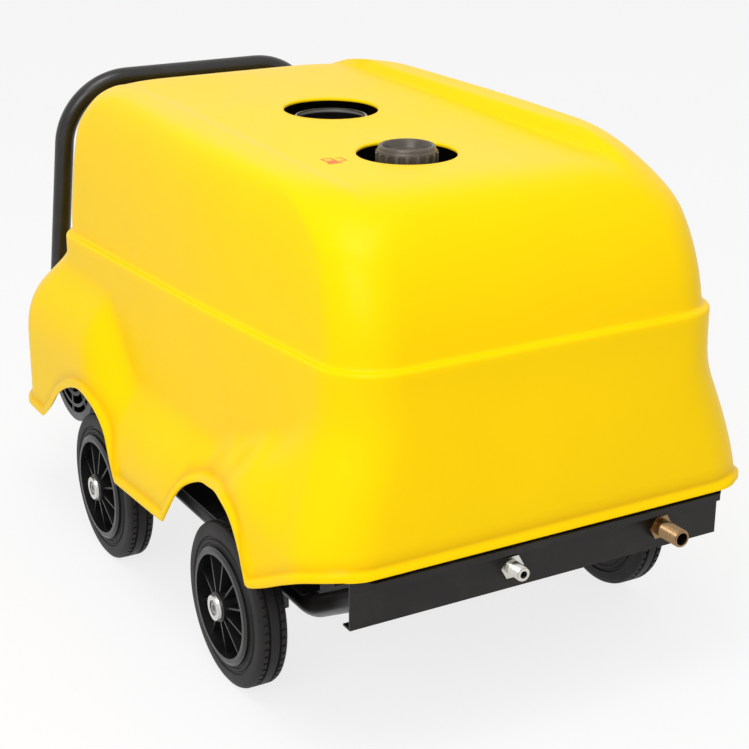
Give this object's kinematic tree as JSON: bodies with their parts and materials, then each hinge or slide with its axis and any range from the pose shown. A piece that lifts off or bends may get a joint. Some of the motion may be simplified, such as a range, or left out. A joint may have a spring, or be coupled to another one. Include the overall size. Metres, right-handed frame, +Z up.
{
  "type": "pressure washer",
  "caption": "Hot-water pressure washer on a wheeled tube frame, with a lift-off hood, push handle, screw fuel cap, flue outlet and front hose fittings.",
  "frame": {"origin": "on the floor under the middle of the whole machine's bounding box", "axes": "+X to the right seen from the front plate, +Y from the front plate towards the push handle, +Z up"},
  "size_m": [0.7728, 1.3064, 0.78],
  "materials": {
    "hood_yellow": "moulded plastic, satin gloss",
    "frame_black": "black powder coat, satin",
    "plate_black": "black powder coat, satin",
    "tyre_rubber": "matt solid rubber",
    "rim_black": "moulded plastic",
    "hub_silver": "zinc plated",
    "axle_steel": "zinc plated",
    "fastener_steel": "zinc plated",
    "inlet_brass": "turned brass, slightly dull",
    "outlet_steel": "bright turned steel",
    "cap_black": "moulded plastic",
    "seal_rubber": "rubber",
    "tank_plastic": "moulded polyethylene",
    "water_plastic": "natural polyethylene",
    "stainless": "stainless sheet",
    "tray_steel": "black paint",
    "cast_grey": "die cast",
    "motor_paint": "dark grey paint",
    "pump_brass": "forged brass",
    "hose_rubber": "reinforced rubber",
    "coil_steel": "steel tube",
    "panel_plastic": "moulded plastic",
    "knob_black": "moulded plastic",
    "knob_red": "moulded plastic",
    "dial_white": "white dial in a steel case"
  },
  "bodies": {
    "machine": {"push_handle": "frame_black", "chassis_frame": "frame_black", "handle_clamps": "frame_black", "floor_tray": "tray_steel", "clamp_bolts": "fastener_steel", "front_bumper_plate": "plate_black", "front_axle": "axle_steel", "rear_axle": "axle_steel", "axle_end_screws": "fastener_steel", "water_inlet": "inlet_brass", "pressure_outlet": "outlet_steel", "outlet_locknut": "outlet_steel", "tank_stand": "frame_black", "fuel_tank": "tank_plastic", "filler_neck": "tank_plastic", "boiler_shell": "stainless", "boiler_lid": "stainless", "heating_coil": "coil_steel", "flue_pipe": "stainless", "burner_housing": "cast_grey", "burner_motor": "motor_paint", "blast_tube": "stainless", "ignition_transformer": "panel_plastic", "motor_body": "motor_paint", "motor_fan_cowl": "motor_paint", "terminal_box": "panel_plastic", "pump_crankcase": "cast_grey", "pump_head": "pump_brass", "unloader_valve": "pump_brass", "float_tank": "water_plastic", "inlet_hose": "hose_rubber", "suction_hose": "hose_rubber", "coil_feed_pipe": "axle_steel", "coil_outlet_pipe": "axle_steel", "panel_stand": "frame_black", "control_box": "panel_plastic", "pressure_gauge": "dial_white"},
    "hood": {"hood": "hood_yellow"},
    "fuel_cap_seal": {"fuel_cap_seal": "seal_rubber"},
    "fuel_cap": {"fuel_cap": "cap_black"},
    "motor_rotor": {"motor_shaft": "axle_steel", "motor_fan": "rim_black", "shaft_coupling": "cast_grey"},
    "burner_fan": {"burner_fan": "cast_grey"},
    "pressure_knob": {"pressure_knob": "knob_black"},
    "main_switch_knob": {"main_switch_knob": "knob_red"},
    "thermostat_knob": {"thermostat_knob": "knob_black"},
    "gauge_needle": {"gauge_needle": "knob_red"},
    "front_left_wheel": {"front_left_tyre": "tyre_rubber", "front_left_rim": "rim_black", "front_left_hub_ring": "hub_silver"},
    "front_right_wheel": {"front_right_tyre": "tyre_rubber", "front_right_rim": "rim_black", "front_right_hub_ring": "hub_silver"},
    "rear_left_wheel": {"rear_left_tyre": "tyre_rubber", "rear_left_rim": "rim_black", "rear_left_hub_ring": "hub_silver"},
    "rear_right_wheel": {"rear_right_tyre": "tyre_rubber", "rear_right_rim": "rim_black", "rear_right_hub_ring": "hub_silver"}
  },
  "joints": [
    {"name": "front_left_wheel_spin", "type": "hinge", "parent": "machine", "child": "front_left_wheel", "pos_m": [-0.337, -0.30459, 0.125], "axis": [1, 0, 0], "continuous": true},
    {"name": "front_right_wheel_spin", "type": "hinge", "parent": "machine", "child": "front_right_wheel", "pos_m": [0.337, -0.30459, 0.125], "axis": [1, 0, 0], "continuous": true},
    {"name": "rear_left_wheel_spin", "type": "hinge", "parent": "machine", "child": "rear_left_wheel", "pos_m": [-0.337, 0.18091, 0.125], "axis": [1, 0, 0], "continuous": true},
    {"name": "rear_right_wheel_spin", "type": "hinge", "parent": "machine", "child": "rear_right_wheel", "pos_m": [0.337, 0.18091, 0.125], "axis": [1, 0, 0], "continuous": true},
    {"name": "hood_lift", "type": "slide", "parent": "machine", "child": "hood", "axis": [0, 0, 1], "range_m": [0, 0.62]},
    {"name": "fuel_cap_rise", "type": "slide", "parent": "machine", "child": "fuel_cap_seal", "axis": [0, 0, 1], "range_m": [0, 0.036]},
    {"name": "fuel_cap_turn", "type": "hinge", "parent": "fuel_cap_seal", "child": "fuel_cap", "pos_m": [-0.039, -0.27729, 0.74], "axis": [0, 0, 1], "range_deg": [0, 1080]},
    {"name": "motor_spin", "type": "hinge", "parent": "machine", "child": "motor_rotor", "pos_m": [-0.1, 0.37971, 0.284], "axis": [1, 0, 0], "continuous": true},
    {"name": "burner_fan_spin", "type": "hinge", "parent": "machine", "child": "burner_fan", "pos_m": [0, -0.30529, 0.275], "axis": [1, 0, 0], "continuous": true},
    {"name": "pressure_knob_turn", "type": "hinge", "parent": "machine", "child": "pressure_knob", "pos_m": [0.143, 0.47871, 0.37], "axis": [0, 0, -1], "range_deg": [0, 270]},
    {"name": "main_switch_turn", "type": "hinge", "parent": "machine", "child": "main_switch_knob", "pos_m": [0.088, 0.40171, 0.572], "axis": [0, -1, 0], "range_deg": [0, 90]},
    {"name": "thermostat_turn", "type": "hinge", "parent": "machine", "child": "thermostat_knob", "pos_m": [0, 0.40171, 0.572], "axis": [0, -1, 0], "range_deg": [0, 270]},
    {"name": "gauge_needle_turn", "type": "hinge", "parent": "machine", "child": "gauge_needle", "pos_m": [-0.088, 0.40171, 0.572], "axis": [0, -1, 0], "range_deg": [0, 270]}
  ],
  "couplings": [
    {"joint": "fuel_cap_rise", "follows": "fuel_cap_turn", "m_per_rad": 0.0019099}
  ]
}
